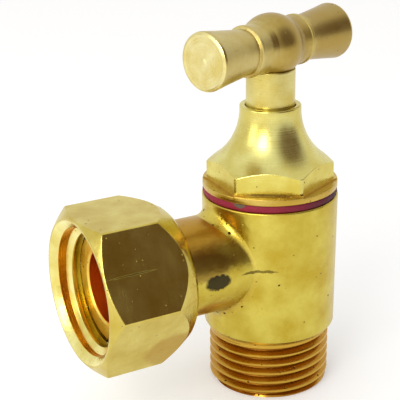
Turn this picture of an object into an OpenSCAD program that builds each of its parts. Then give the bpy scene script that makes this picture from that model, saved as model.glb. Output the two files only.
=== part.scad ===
// Angle valve for a heating or water pipe, with a T handle on a rising spindle and a captive union nut.
// The inlet stands at the origin and points down, the outlet branch points to -X, the spindle rises along +Z.
// All sizes are in millimetres. The valve is drawn fully open.

/* [Body] */
// Diameter of the body's barrel at its upper end
barrel_d = 18.4; // [18.2:0.1:19.4]
// Diameter of the barrel just above its lower shoulder
barrel_foot_d = 18.1; // [17.6:0.1:18.6]
// Height of the shoulder where the barrel ends above the inlet thread
shoulder_z = 8.92; // [8.5:0.1:9.3]
// Height of the body from the inlet end to its upper rim
body_h = 27.5; // [27.2:0.1:29]
// Small edge break round the upper rim of the body
rim_break = 0.2; // [0.1:0.05:0.4]

/* [Inlet thread] */
// Outer diameter of the inlet thread, three eighths pipe size
thread_d = 16.662; // [16.4:0.01:16.9]
// Distance from one thread to the next, nineteen to the inch
thread_pitch = 1.337; // [1.3:0.001:1.36]
// Depth of the pipe thread
thread_depth = 0.856; // [0.7:0.01:0.9]
// Height of the centre of the first thread groove
first_groove_z = 1.836; // [1.7:0.01:2]
// Diameter of the flat ring at the inlet end
inlet_face_d = 15.7; // [15.2:0.1:16]
// Diameter of the inlet bore
inlet_bore_d = 10.4; // [9.6:0.1:10.8]

/* [Seat] */
// Diameter of the hole through the valve seat
seat_bore_d = 8; // [7.6:0.1:8.2]
// Height of the crown of the valve seat
seat_z = 13.9; // [13.7:0.1:14.1]
// Diameter of the chamber above the seat
chamber_d = 14; // [13.2:0.1:14.4]

/* [Outlet branch] */
// Height of the axis of the outlet branch
outlet_z = 19; // [18.8:0.1:19.4]
// Outer diameter of the branch
branch_d = 13.2; // [12.8:0.1:13.4]
// Distance from the valve's axis to the end face of the branch
branch_len = 25.2; // [24.6:0.1:25.4]
// Diameter of the bore at the end of the branch
outlet_bore_d = 9.7; // [9.2:0.1:10.2]
// Diameter of the flange that holds the union nut on the branch
flange_d = 14.5; // [14.2:0.1:14.7]
// Thickness of that flange
flange_t = 1.8; // [1.6:0.1:2.2]

/* [Union nut] */
// Width of the union nut across its flats
nut_af = 19.7; // [19.4:0.1:20]
// Distance from the valve's axis to the front face of the nut
nut_front = 28.7; // [28.6:0.1:29.2]
// Length of the nut from its front face to its rear lip
nut_len = 12.7; // [12.4:0.1:12.9]
// Diameter of the narrow front face of the nut
nut_face_d = 19.4; // [19:0.1:19.5]
// Depth of the front chamfer at the corners of the nut
nut_chamfer = 1.2; // [0.8:0.1:1.5]
// Widening of the nut's rear cone, radius for each millimetre of length
nut_rear_slope = 0.605; // [0.5:0.005:0.7]
// Diameter at which the rear cone starts, behind the hexagon
nut_rear_d = 18.4; // [18:0.1:18.8]
// Diameter of the countersunk mouth in the front face
nut_mouth_d = 18.8; // [18.2:0.1:18.9]

/* [Bonnet] */
// Outer diameter of the thread with which the bonnet is screwed into the body
bonnet_thread_d = 14.9; // [14.7:0.1:15.1]
// Distance from one of its threads to the next
bonnet_pitch = 1; // [0.95:0.01:1.05]
// Step by which the bonnet's round collar and its gasket stand back from the barrel's rim
collar_step = 0.1; // [0:0.05:0.3]
// Thickness of the collar
collar_t = 0.9; // [0.7:0.1:1.2]
// Width of the bonnet's hexagon across its flats
bonnet_af = 15; // [14.6:0.1:15.4]
// Diameter of the round bar that the hexagon is milled from
bonnet_bar_d = 17.1; // [16.8:0.1:17.6]
// Angle of the hexagon about the valve's axis
bonnet_angle = -34; // [-60:1:60]
// Height of the bonnet from the top of its collar to the top of its neck
bonnet_rise = 10.25; // [10:0.05:11]
// Outer diameter of the neck
neck_d = 8.2; // [8:0.1:8.8]
// Radius of the hollow curve that forms the bell of the bonnet
bell_r = 8.5; // [8:0.1:9]
// Distance of the middle of that curve below the top of the neck
bell_drop = 0.55; // [0.3:0.05:0.9]

/* [Bonnet gasket] */
// Thickness of the fibre gasket between the body and the bonnet
gasket_t = 1; // [0.8:0.1:1.3]

/* [Spindle] */
// Diameter of the smooth part of the spindle
spindle_d = 6.5; // [6.3:0.1:6.6]
// Outer diameter of the spindle's thread
spindle_thread_d = 8.9; // [8.8:0.1:9.2]
// Distance from one thread of the spindle to the next
spindle_pitch = 1.5; // [1.4:0.05:1.6]
// Thickness of the rubber of an O-ring
o_ring_t = 0.96; // [0.9:0.01:0.97]
// Travel of the seat washer from shut to fully open
valve_lift = 3.3; // [3.1:0.1:3.4]

/* [T handle] */
// Height of the handle's axis when the valve is fully open
handle_z = 47.42; // [47.2:0.01:49]
// Angle of the handle about the valve's axis
handle_angle = 16.4; // [-90:0.1:90]
// Length of the handle from end to end
handle_len = 25.2; // [24:0.1:28]
// Diameter of the handle at its flared ends
handle_end_d = 7.8; // [7.4:0.1:8.2]
// Diameter of the ball in the middle of the handle
handle_ball_d = 8.44; // [8.2:0.02:8.8]
// Diameter of the straight barrel on each side of the ball
handle_barrel_d = 6.5; // [6.2:0.1:6.6]
// Diameter of the bead ring at the end of that barrel
handle_bead_d = 6.74; // [6.66:0.02:7]
// Diameter of the handle at its thinnest, just past the bead ring
handle_waist_d = 5.8; // [5.4:0.1:6.1]

/* [Jumper and seat washer] */
// Thickness of the jumper's disc above the seat washer
jumper_t = 1.5; // [1.3:0.1:1.6]
// Wall of the jumper's cup round the seat washer
cup_wall = 0.35; // [0.3:0.05:0.6]
// Thickness of the rubber seat washer
washer_t = 2.4; // [2.3:0.1:2.5]
// Diameter of the stem with which the jumper hangs in the spindle
jumper_stem_d = 4; // [3.8:0.1:4]
// Width of the clamp nut across its flats
clamp_af = 5.5; // [5:0.1:5.6]

/* [Fits] */
// Room on the radius between the jumper's disc and the wall of the chamber
jumper_play = 0.6; // [0.4:0.1:1]
// Room on the radius between the seat washer and the jumper's cup
washer_play = 0.05; // [0.03:0.01:0.1]
// Play on the radius between the nut's lip and the branch
nut_play = 0.25; // [0.2:0.05:0.4]
// Play on the radius between the smooth spindle and the bonnet's neck
spindle_play = 0.09; // [0.08:0.01:0.1]
// Play on the radius between the jumper's stem and the spindle
stem_play = 0.05; // [0.04:0.01:0.08]
// Play between the spindle's foot and the jumper's disc
foot_play = 0.05; // [0.04:0.01:0.1]
// Gap that is left between the seat washer and the seat when the valve is shut
shut_gap = 0.1; // [0.08:0.01:0.2]

/* [Hidden] */
// The pieces of the valve, one solid each
// Which piece is drawn, or all of them

$fn = 96;
// Extra length by which a cut passes the face that it opens
past = 1;

// Colours as they look in daylight
brass = [0.78, 0.68, 0.36];
brass_nut = [0.80, 0.71, 0.42];
brass_inner = [0.74, 0.62, 0.32];
fibre_red = [0.42, 0.08, 0.10];
rubber_black = [0.09, 0.09, 0.10];
steel = [0.68, 0.69, 0.70];

// Half angles of the thread flanks, as axial length for each millimetre of depth
pipe_flank = tan(27.5);
metric_flank = tan(30);

// Inlet thread
thread_r = thread_d / 2;
thread_root_r = thread_r - thread_depth;
thread_grooves = 5;
thread_floor = 0.2;
inlet_chamfer_z = 0.5;
thread_end_z = 8.2;

// Inside of the body
seat_lip = 0.25;
seat_face = 0.5;
seat_foot_r = 5.1;
seat_foot_drop = 0.9;
seat_throat = 2.8;
inlet_cone = 0.7;
facing_room = 0.5;

// Jumper with its washer, in the open position
chamber_r = chamber_d / 2;
washer_z = seat_z + valve_lift + shut_gap;
jumper_z = washer_z + washer_t;
jumper_top_z = jumper_z + jumper_t;
jumper_r = chamber_r - jumper_play;
cup_r = jumper_r - cup_wall;
washer_r = cup_r - washer_play;
cup_depth = 1.4;
jumper_edge = 0.25;
stud_r = 1.45;
stud_edge = 0.2;
stud_len = 3;
stud_foot_z = washer_z - stud_len;
stem_r = jumper_stem_d / 2;
stem_len = 5.6;
stem_top_z = jumper_top_z + stem_len;
ring_rise = 3.1;
ring_z = jumper_top_z + ring_rise;
stem_groove_r = stem_r - 0.3;
stem_groove_w = 0.7;
ring_in_r = stem_groove_r + 0.03;
ring_out_r = stem_r + 0.35;
ring_t = 0.5;
ring_mouth = 2.4;
stud_hole_r = 1.5;
clamp_washer_r = 3.4;
clamp_washer_t = 0.5;
clamp_washer_hole_r = 1.55;
clamp_nut_t = 2;
clamp_edge = 0.35;

// Thread between body and bonnet: the ridges of one run in the grooves of the other with play all round
thread_play = 0.05;
bonnet_thread_r = bonnet_thread_d / 2;
bonnet_thread_depth = 0.5;
bonnet_root_r = bonnet_thread_r - bonnet_thread_depth;
bonnet_floor = 0.15;
bonnet_lead = 0.35;
foot_room = 1.7;
bonnet_foot_z = jumper_top_z + foot_room;
bonnet_thread_z = bonnet_foot_z + 0.864;
bonnet_neck_len = 0.7;
bonnet_grooves = 1 + floor((body_h - bonnet_thread_z - bonnet_neck_len) / bonnet_pitch);
bonnet_last_z = bonnet_thread_z + (bonnet_grooves - 1) * bonnet_pitch;
body_core_r = bonnet_root_r + thread_play;
body_groove_r = bonnet_thread_r + 2 * thread_play;
body_groove_floor = 0.256;
body_ridge_flat = 0.108;
relief_r = bonnet_thread_r + 3 * thread_play;
relief_lead = 0.6;
spigot_r = bonnet_thread_r - 3 * thread_play;
spigot_step_z = body_h - 0.3;
spigot_z = body_h - 0.1;
rim_bore_r = bonnet_thread_r + thread_play;
rim_lead = rim_bore_r - body_core_r;

// Outlet branch, lengths measured from the valve's axis along the branch
branch_r = branch_d / 2;
flange_r = flange_d / 2;
flange_edge = 0.3;
branch_inner_r = 4;
branch_step = 12.5;
branch_cone = 0.7;
bore_edge = 0.25;

// Union nut, lengths measured along the branch like those above
nut_back = nut_front - nut_len;
nut_corner_r = nut_af / sqrt(3);
nut_round_r = nut_corner_r + 0.3;
nut_lip_edge = 0.5;
nut_lip_r = branch_r + nut_play;
nut_lip_t = 2.5;
nut_relief_r = 8.5;
nut_relief_end = 21.2;
nut_crest_r = thread_root_r;
nut_root_r = thread_r + 0.05;
nut_crest_flat = 0.2456;
nut_ridges = 5;
nut_full_ridges = 2;
nut_bored_r = flange_r + 0.45;
nut_first_ridge = nut_front - 1.45;
nut_mouth_depth = 0.856;

// Bonnet
collar_r = barrel_d / 2 - collar_step;
collar_z = body_h + gasket_t;
hex_z = collar_z + collar_t;
neck_z = hex_z + bonnet_rise;
bell_z = neck_z - bell_drop;
bell_centre_r = neck_d / 2 + bell_r;
witness_af = bonnet_af + 0.6;
witness_t = 0.15;
neck_edge = 0.25;
bonnet_bore_r = spindle_thread_d / 2 + thread_play;
roof_rise = 2;
bonnet_roof_z = hex_z + roof_rise;
neck_bore_r = spindle_d / 2 + spindle_play;
neck_lead = 0.15;

// Spindle
spindle_r = spindle_d / 2;
spindle_foot_z = jumper_top_z + foot_play;
stop_play = 0.1;
spindle_stop_z = bonnet_roof_z - stop_play;
spindle_crest_r = spindle_thread_d / 2;
spindle_thread_depth = 0.85;
spindle_root_r = spindle_crest_r - spindle_thread_depth;
spindle_lead = 1.35;
spindle_tail = 1.05;
spindle_grooves = 1 + floor((spindle_stop_z - spindle_tail - spindle_foot_z - spindle_lead) / spindle_pitch);
spindle_first_z = spindle_foot_z + spindle_lead;
spindle_floor = 0.2;
spindle_edge = 0.3;
ball_foot_drop = 2.92;
ball_flat_z = handle_z - ball_foot_drop;
tenon_r = 2.19;
tenon_hole_r = 2.2;
tenon_len = 3.4;
tenon_hole_len = 3.5;
stem_hole_r = stem_r + stem_play;
stem_hole_top = stem_top_z + 0.6;
ring_groove_r = ring_out_r + 0.25;
ring_groove_w = 1;

// O-rings and their grooves, counted down from the top of the neck
o_ring_drops = [3.75, 1.65];
o_ring_z = [for (drop = o_ring_drops) neck_z - drop];
o_groove_depth = 0.9;
o_groove_r = spindle_r - o_groove_depth;
o_groove_w = 1.3;
o_ring_play = 0.02;
o_ring_r = o_groove_r + o_ring_play + o_ring_t / 2;

// T handle, lengths measured from the ball's centre along the handle
handle_half = handle_len / 2;
barrel_start = 3.1;
ball_foot = 2.3;
bead_start = 4.55;
bead_end = 5.2;
bead_edge = 0.12;
rim_round = [[0.5, 0], [0.17, 0.14], [0, 0.42]];

// One V of a thread profile, with its tip flat: points from low to high along the axis
function vee(at, tip_r, foot_r, flat, slope) =
    let (flank = abs(foot_r - tip_r) * slope)
    [[foot_r, at - flat / 2 - flank], [tip_r, at - flat / 2],
     [tip_r, at + flat / 2], [foot_r, at + flat / 2 + flank]];

// Radius to which ridge k of the nut reaches: the ones that pass over the flange are bored out
function nut_tip(k) = k < nut_full_ridges ? nut_crest_r : nut_bored_r;

// Flat of a ridge of the nut, wider where its tip is bored away
function nut_flat(k) = nut_crest_flat + 2 * (nut_tip(k) - nut_crest_r) * pipe_flank;

// Turns the frame so that local +Z runs out along the branch
module along_branch() {
    translate([0, 0, outlet_z])
        rotate([0, -90, 0])
            children();
}

// A turned solid from its half profile, given as points of radius and height
module turned(profile) {
    rotate_extrude()
        polygon(profile);
}

// A plain turned ring between two radii
module ring(inner_r, outer_r, from_z, height) {
    translate([0, 0, from_z])
        difference() {
            cylinder(r = outer_r, h = height);
            translate([0, 0, -past])
                cylinder(r = inner_r, h = height + 2 * past);
        }
}

// A hexagonal bar of a given width across flats
module hex_bar(af, from_z, height) {
    translate([0, 0, from_z])
        cylinder(r = af / sqrt(3), h = height, $fn = 6);
}

// Outside of the barrel with the inlet thread below its shoulder
module barrel_outside() {
    turned(concat(
        [[0, 0], [inlet_face_d / 2, 0], [thread_r, inlet_chamfer_z]],
        [for (k = [0 : thread_grooves - 1])
            each vee(first_groove_z + k * thread_pitch, thread_root_r, thread_r, thread_floor, pipe_flank)],
        [[thread_r, thread_end_z],
         [barrel_foot_d / 2, shoulder_z],
         [barrel_d / 2, body_h - rim_break],
         [barrel_d / 2 - rim_break, body_h],
         [0, body_h]]));
}

// Inlet bore, seat, chamber and the thread for the bonnet, as one turned hollow
module barrel_inside() {
    inlet_r = inlet_bore_d / 2;
    throat_r = seat_bore_d / 2;
    turned(concat(
        [[0, -past],
         [inlet_r, -past],
         [inlet_r, seat_z - seat_throat - inlet_cone],
         [throat_r, seat_z - seat_throat],
         [throat_r, seat_z - seat_lip],
         [throat_r + seat_lip, seat_z],
         [throat_r + seat_lip + seat_face, seat_z],
         [seat_foot_r, seat_z - seat_foot_drop],
         [chamber_r, seat_z - seat_foot_drop],
         [chamber_r, bonnet_foot_z - relief_lead],
         [relief_r, bonnet_foot_z],
         [relief_r, bonnet_thread_z - body_ridge_flat / 2 - (relief_r - body_core_r) * metric_flank],
         [body_core_r, bonnet_thread_z - body_ridge_flat / 2]],
        [for (k = [0 : 1 : bonnet_grooves - 2])
            each vee(bonnet_thread_z + (k + 0.5) * bonnet_pitch, body_groove_r, body_core_r,
                     body_groove_floor, metric_flank)],
        [[body_core_r, bonnet_last_z + body_ridge_flat / 2],
         [rim_bore_r, bonnet_last_z + body_ridge_flat / 2 + rim_lead],
         [rim_bore_r, body_h + past],
         [0, body_h + past]]));
}

// Branch with the flange at its end
module branch_outside() {
    along_branch()
        turned([[0, 0],
                [branch_r, 0],
                [branch_r, branch_len - flange_t],
                [flange_r - flange_edge, branch_len - flange_t],
                [flange_r, branch_len - flange_t + flange_edge],
                [flange_r, branch_len - flange_edge],
                [flange_r - flange_edge, branch_len],
                [0, branch_len]]);
}

// Bore of the branch, wider at its end, opening into the chamber
module branch_inside() {
    outlet_r = outlet_bore_d / 2;
    along_branch()
        turned([[0, chamber_r / 2],
                [branch_inner_r, chamber_r / 2],
                [branch_inner_r, branch_step],
                [outlet_r, branch_step + branch_cone],
                [outlet_r, branch_len - bore_edge],
                [outlet_r + bore_edge, branch_len],
                [outlet_r + bore_edge, branch_len + past],
                [0, branch_len + past]]);
}

// Facing cut that keeps the rim flat where the bonnet sits, whatever the branch's height
module rim_facing() {
    translate([0, 0, body_h])
        cylinder(r = collar_r + facing_room, h = branch_d);
}

// Body: one forging with barrel, branch, seat and inlet thread
module body() {
    color(brass)
        difference() {
            union() {
                barrel_outside();
                branch_outside();
            }
            barrel_inside();
            branch_inside();
            rim_facing();
        }
}

// Turned envelope that chamfers the corners of the nut at both ends and forms its rear lip
module nut_envelope() {
    rear_r = nut_rear_d / 2;
    rear_s = nut_back + nut_lip_edge;
    face_r = nut_face_d / 2;
    chamfer_slope = nut_chamfer / (nut_corner_r - face_r);
    along_branch()
        turned([[0, nut_back],
                [rear_r - 2 * nut_lip_edge, nut_back],
                [rear_r - nut_lip_edge / 2, nut_back + nut_lip_edge / 4],
                [rear_r, rear_s],
                [nut_round_r, rear_s + (nut_round_r - rear_r) / nut_rear_slope],
                [nut_round_r, nut_front - chamfer_slope * (nut_round_r - face_r)],
                [face_r, nut_front],
                [0, nut_front]]);
}

// Hollow of the nut: lip, relief, thread and countersunk mouth
module nut_inside() {
    along_branch()
        turned(concat(
            [[0, nut_back - past],
             [nut_lip_r, nut_back - past],
             [nut_lip_r, nut_back + nut_lip_t],
             [nut_relief_r, nut_back + nut_lip_t],
             [nut_relief_r, nut_relief_end]],
            [for (k = [nut_ridges - 1 : -1 : 0])
                each vee(nut_first_ridge - k * thread_pitch, nut_tip(k), nut_root_r, nut_flat(k), pipe_flank)],
            [[nut_mouth_d / 2, nut_front],
             [nut_mouth_d / 2, nut_front + past],
             [0, nut_front + past]]));
}

// Union nut, loose on the branch
module union_nut() {
    color(brass_nut)
        difference() {
            intersection() {
                nut_envelope();
                along_branch()
                    rotate([0, 0, 30])
                        hex_bar(nut_af, nut_back - past, nut_len + 2 * past);
            }
            nut_inside();
        }
}

// Threaded foot, spigot and collar of the bonnet
module bonnet_foot() {
    turned(concat(
        [[0, bonnet_foot_z],
         [bonnet_thread_r - bonnet_lead, bonnet_foot_z],
         [bonnet_thread_r, bonnet_foot_z + bonnet_lead]],
        [for (k = [0 : 1 : bonnet_grooves - 2])
            each vee(bonnet_thread_z + k * bonnet_pitch, bonnet_root_r, bonnet_thread_r, bonnet_floor,
                     metric_flank)],
        [[bonnet_thread_r, bonnet_last_z - bonnet_floor / 2 - bonnet_thread_depth * metric_flank],
         [bonnet_root_r, bonnet_last_z - bonnet_floor / 2],
         [bonnet_root_r, spigot_step_z],
         [spigot_r, spigot_z],
         [spigot_r, collar_z],
         [collar_r, collar_z],
         [collar_r, hex_z],
         [0, hex_z]]));
}

// Bell and neck: the turned curve breaks out across the six milled flats
module bonnet_bell() {
    bar_r = bonnet_bar_d / 2;
    neck_r = neck_d / 2;
    intersection() {
        rotate_extrude()
            difference() {
                polygon([[0, hex_z - witness_t],
                         [bar_r, hex_z - witness_t],
                         [bar_r, neck_z - neck_edge - (bar_r - neck_r)],
                         [neck_r, neck_z - neck_edge],
                         [neck_r - neck_edge, neck_z],
                         [0, neck_z]]);
                translate([bell_centre_r, bell_z])
                    circle(r = bell_r);
            }
        rotate([0, 0, bonnet_angle])
            hex_bar(bonnet_af, hex_z - witness_t, bonnet_rise + 2 * witness_t);
    }
}

// Bonnet: one turned and milled piece
module bonnet() {
    color(brass)
        difference() {
            union() {
                bonnet_foot();
                rotate([0, 0, bonnet_angle])
                    hex_bar(witness_af, hex_z - witness_t, 2 * witness_t);
                bonnet_bell();
            }
            turned([[0, bonnet_foot_z - past],
                    [bonnet_bore_r, bonnet_foot_z - past],
                    [bonnet_bore_r, bonnet_roof_z],
                    [neck_bore_r, bonnet_roof_z],
                    [neck_bore_r, neck_z - neck_lead],
                    [neck_bore_r + neck_lead, neck_z],
                    [neck_bore_r + neck_lead, neck_z + past],
                    [0, neck_z + past]]);
        }
}

// Fibre gasket, clamped between body and collar
module bonnet_gasket() {
    color(fibre_red)
        ring(rim_bore_r, collar_r, body_h, gasket_t);
}

// Spindle with its thread, its O-ring grooves, the tenon for the handle and the socket for the jumper
module spindle() {
    color(brass_inner)
        difference() {
            turned(concat(
                [[0, spindle_foot_z],
                 [spindle_crest_r - spindle_edge, spindle_foot_z],
                 [spindle_crest_r, spindle_foot_z + spindle_edge]],
                [for (k = [0 : 1 : spindle_grooves - 1])
                    each vee(spindle_first_z + k * spindle_pitch, spindle_root_r, spindle_crest_r,
                             spindle_floor, metric_flank)],
                [[spindle_crest_r, spindle_stop_z],
                 [spindle_r, spindle_stop_z]],
                [for (z = o_ring_z)
                    each [[spindle_r, z - o_groove_w / 2], [o_groove_r, z - o_groove_w / 2],
                          [o_groove_r, z + o_groove_w / 2], [spindle_r, z + o_groove_w / 2]]],
                [[spindle_r, ball_flat_z],
                 [tenon_r, ball_flat_z],
                 [tenon_r, ball_flat_z + tenon_len],
                 [0, ball_flat_z + tenon_len]]));
            turned([[0, spindle_foot_z - past],
                    [stem_hole_r, spindle_foot_z - past],
                    [stem_hole_r, ring_z - ring_groove_w / 2],
                    [ring_groove_r, ring_z - ring_groove_w / 2],
                    [ring_groove_r, ring_z + ring_groove_w / 2],
                    [stem_hole_r, ring_z + ring_groove_w / 2],
                    [stem_hole_r, stem_hole_top],
                    [0, stem_hole_top + stem_hole_r / 2]]);
        }
}

// One O-ring at a given height
module o_ring(z) {
    color(rubber_black)
        translate([0, 0, z])
            rotate_extrude()
                translate([o_ring_r, 0])
                    circle(d = o_ring_t, $fn = 32);
}

// O-ring nearer the body
module o_ring_lower() {
    o_ring(o_ring_z[0]);
}

// O-ring nearer the top of the neck
module o_ring_upper() {
    o_ring(o_ring_z[1]);
}

// Half profile of one side of the handle, from the ball to the flared end
module handle_side() {
    end_r = handle_end_d / 2;
    barrel_r = handle_barrel_d / 2;
    bead_r = handle_bead_d / 2;
    waist_r = handle_waist_d / 2;
    ball_r = handle_ball_d / 2;
    turned([[0, 0],
            [sqrt(ball_r * ball_r - ball_foot * ball_foot) - 0.01, 0],
            [sqrt(ball_r * ball_r - ball_foot * ball_foot) - 0.01, ball_foot],
            [barrel_r + 0.04, barrel_start],
            [barrel_r, barrel_start + 0.05],
            [barrel_r, bead_start],
            [bead_r, bead_start + bead_edge],
            [bead_r, bead_end - bead_edge],
            [bead_r - bead_edge, bead_end],
            [waist_r, bead_end + 0.05],
            [end_r - rim_round[2][0], handle_half - rim_round[2][1]],
            [end_r - rim_round[1][0], handle_half - rim_round[1][1]],
            [end_r - rim_round[0][0], handle_half],
            [0, handle_half]]);
}

// T handle: one turned bar with a ball in the middle, pressed on the spindle's tenon
module t_handle() {
    color(brass)
        difference() {
            translate([0, 0, handle_z])
                rotate([0, 0, handle_angle])
                    union() {
                        sphere(d = handle_ball_d);
                        rotate([0, 90, 0])
                            handle_side();
                        rotate([0, -90, 0])
                            handle_side();
                    }
            translate([0, 0, ball_flat_z - handle_ball_d])
                cylinder(r = spindle_r + past, h = handle_ball_d);
            translate([0, 0, ball_flat_z - past])
                cylinder(r = tenon_hole_r, h = tenon_hole_len + past);
        }
}

// Jumper: disc with a shallow cup for the washer, stem above and threaded stud below
module jumper() {
    color(brass_inner)
        turned([[0, stud_foot_z],
                [stud_r - stud_edge, stud_foot_z],
                [stud_r, stud_foot_z + stud_edge],
                [stud_r, jumper_z],
                [cup_r, jumper_z],
                [cup_r, jumper_z - cup_depth],
                [jumper_r, jumper_z - cup_depth],
                [jumper_r, jumper_top_z - jumper_edge],
                [jumper_r - jumper_edge, jumper_top_z],
                [stem_r, jumper_top_z],
                [stem_r, ring_z - stem_groove_w / 2],
                [stem_groove_r, ring_z - stem_groove_w / 2],
                [stem_groove_r, ring_z + stem_groove_w / 2],
                [stem_r, ring_z + stem_groove_w / 2],
                [stem_r, stem_top_z - jumper_edge],
                [stem_r - jumper_edge, stem_top_z],
                [0, stem_top_z]]);
}

// Rubber washer that shuts against the seat
module seat_washer() {
    color(rubber_black)
        ring(stud_hole_r, washer_r, washer_z, washer_t);
}

// Flat washer under the clamp nut
module clamp_washer() {
    color(steel)
        ring(clamp_washer_hole_r, clamp_washer_r, washer_z - clamp_washer_t, clamp_washer_t);
}

// Small hexagon nut that holds the rubber washer on the stud
module clamp_nut() {
    top_z = washer_z - clamp_washer_t;
    foot_z = top_z - clamp_nut_t;
    flat_r = clamp_af / 2;
    round_r = flat_r + 2 * clamp_edge;
    color(steel)
        difference() {
            intersection() {
                hex_bar(clamp_af, foot_z, clamp_nut_t);
                turned([[0, foot_z],
                        [flat_r, foot_z],
                        [round_r, foot_z + clamp_edge],
                        [round_r, top_z - clamp_edge],
                        [flat_r, top_z],
                        [0, top_z]]);
            }
            translate([0, 0, foot_z - past])
                cylinder(r = stud_hole_r, h = clamp_nut_t + 2 * past);
        }
}

// Split ring that lies in the stem's groove and keeps the jumper in the spindle
module snap_ring() {
    ring_foot = ring_z - stem_groove_w / 2;
    color(steel)
        difference() {
            ring(ring_in_r, ring_out_r, ring_foot, ring_t);
            translate([0, -ring_mouth / 2, ring_foot - past])
                cube([ring_out_r + past, ring_mouth, ring_t + 2 * past]);
        }
}

body();
union_nut();
bonnet();
bonnet_gasket();
spindle();
o_ring_lower();
o_ring_upper();
t_handle();
jumper();
seat_washer();
clamp_washer();
clamp_nut();
snap_ring();
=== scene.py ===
import math

import bmesh
import bpy
from mathutils import Matrix, Vector, noise


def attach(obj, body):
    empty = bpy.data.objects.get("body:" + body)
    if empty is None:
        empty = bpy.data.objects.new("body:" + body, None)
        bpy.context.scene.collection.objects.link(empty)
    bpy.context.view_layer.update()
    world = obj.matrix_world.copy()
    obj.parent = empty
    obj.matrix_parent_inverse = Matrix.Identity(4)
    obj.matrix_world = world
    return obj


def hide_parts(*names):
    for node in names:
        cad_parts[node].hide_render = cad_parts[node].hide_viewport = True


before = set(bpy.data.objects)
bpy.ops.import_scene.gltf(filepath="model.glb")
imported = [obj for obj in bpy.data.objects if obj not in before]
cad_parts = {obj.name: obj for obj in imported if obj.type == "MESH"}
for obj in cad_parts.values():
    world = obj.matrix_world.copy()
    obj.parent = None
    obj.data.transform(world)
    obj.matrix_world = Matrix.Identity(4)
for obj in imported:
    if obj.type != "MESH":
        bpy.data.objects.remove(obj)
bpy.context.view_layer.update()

# Sizes below are in millimetres and become metres when a piece is made.
# Outlines are lists of (out from the axis, up along the axis, radius of the edge).
MM = 0.001
STEPS = 192
EDGE_STEPS = 4
MERGE = 0.0005
WELD = 0.003
SLIVER = 0.04
SHARP = math.radians(24)

# Body
BARREL_TOP_R = 9.2
BARREL_FOOT_R = 9.05
SHOULDER_Z = 8.92
BODY_TOP_Z = 27.5
CHAMBER_R = 7.0
SEAT_Z = 13.9
SEAT_R = 4.0
INLET_R = 5.2
RIM_BORE_R = 7.5

# Inlet thread
PITCH = 1.337
THREAD_R = 8.331
THREAD_DEPTH = 0.856
THREAD_END_Z = 8.2
THREAD_START_Z = 0.941
FADE_FROM_Z = 7.35
INLET_FACE_R = 7.85
START_SLOPE = 0.962

# Outlet branch, lengths along it from the valve's axis
OUTLET_Z = 19.0
BRANCH_R = 6.6
BRANCH_LEN = 25.2
OUTLET_BORE_R = 4.85
FLANGE_R = 7.25
FLANGE_T = 1.8

# Union nut, lengths along the branch
NUT_ACROSS = 19.7
NUT_BACK = 16.0
NUT_FRONT = 28.7
NUT_FACE_R = 9.7
NUT_MOUTH_R = 9.4
NUT_ROOT_R = 8.381
NUT_CREST_R = 7.475
NUT_BORED_R = 7.7
NUT_LIP_R = 6.85
NUT_LIP_T = 2.5
NUT_POCKET_R = 8.5
NUT_REAR_R = 9.2
NUT_REAR_STEP = 0.5
NUT_REAR_SLOPE = 0.605
NUT_TURNED_R = 11.675
NUT_FRONT_CHAMFER = 1.42
NUT_COUNTERSINK = 0.856

# Bonnet
COLLAR_R = 9.1
COLLAR_Z = 28.5
HEX_Z = 29.4
HEX_ACROSS = 15.0
HEX_TURN = math.radians(-34)
BAR_R = 8.55
NECK_R = 4.1
NECK_Z = 39.65
BELL_R = 8.5
BELL_Z = 39.1

# Spindle and handle
SPINDLE_R = 3.25
SPINDLE_FOOT_Z = 21.25
SPINDLE_THREAD_R = 4.45
SPINDLE_ROOT_R = 3.6
SPINDLE_LEAD = 1.5
SPINDLE_COLLAR_Z = 31.3
SOCKET_R = 2.05
SOCKET_TOP_Z = 27.4
RING_GROOVE_R = 2.35
RING_GROOVE_HALF = 0.65
RING_LEVELS = (35.9, 38.0)
TENON_R = 2.19
TENON_TOP_Z = 47.9
HANDLE_Z = 47.42
HANDLE_TURN = math.radians(16.4)
HANDLE_HALF = 12.6
BALL_R = 4.22
BALL_FLAT_Z = 44.5
BALL_HALF = 2.3


def rounded(corners, closed=True):
    """Points of an outline whose corners have been turned into small arcs."""
    points = []
    for k, (out, up, soft) in enumerate(corners):
        here = Vector((out, up))
        is_end = not closed and k in (0, len(corners) - 1)
        if soft == 0 or is_end:
            points.append(here)
            continue
        back = (Vector(corners[k - 1][:2]) - here).normalized()
        ahead = (Vector(corners[(k + 1) % len(corners)][:2]) - here).normalized()
        half = back.angle(ahead) / 2
        centre = here + (back + ahead).normalized() * soft / math.sin(half)
        first = here + back * soft / math.tan(half) - centre
        last = here + ahead * soft / math.tan(half) - centre
        points += [centre + first.slerp(last, step / EDGE_STEPS) * soft for step in range(EDGE_STEPS + 1)]
    return points


def arc(centre, radius, start, end, count):
    """Points of an arc between two angles in degrees, without edge radii."""
    turns = [math.radians(start + (end - start) * k / count) for k in range(count + 1)]
    return [(centre[0] + radius * math.cos(t), centre[1] + radius * math.sin(t), 0) for t in turns]


def turned(corners, closed=True, steps=STEPS):
    """A piece turned about the Z axis from its outline: closed for a ring, else open from axis to axis."""
    bm = bmesh.new()
    dots = [bm.verts.new((p.x * MM, 0, p.y * MM)) for p in rounded(corners, closed)]
    following = dots[1:] + dots[:1] if closed else dots[1:]
    for here, there in zip(dots, following):
        bm.edges.new((here, there))
    bmesh.ops.spin(bm, geom=bm.verts[:] + bm.edges[:], cent=(0, 0, 0), axis=(0, 0, 1),
                   angle=math.tau, steps=steps, use_merge=True)
    bmesh.ops.remove_doubles(bm, verts=bm.verts, dist=MERGE * MM)
    bmesh.ops.recalc_face_normals(bm, faces=bm.faces)
    return bm


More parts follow.
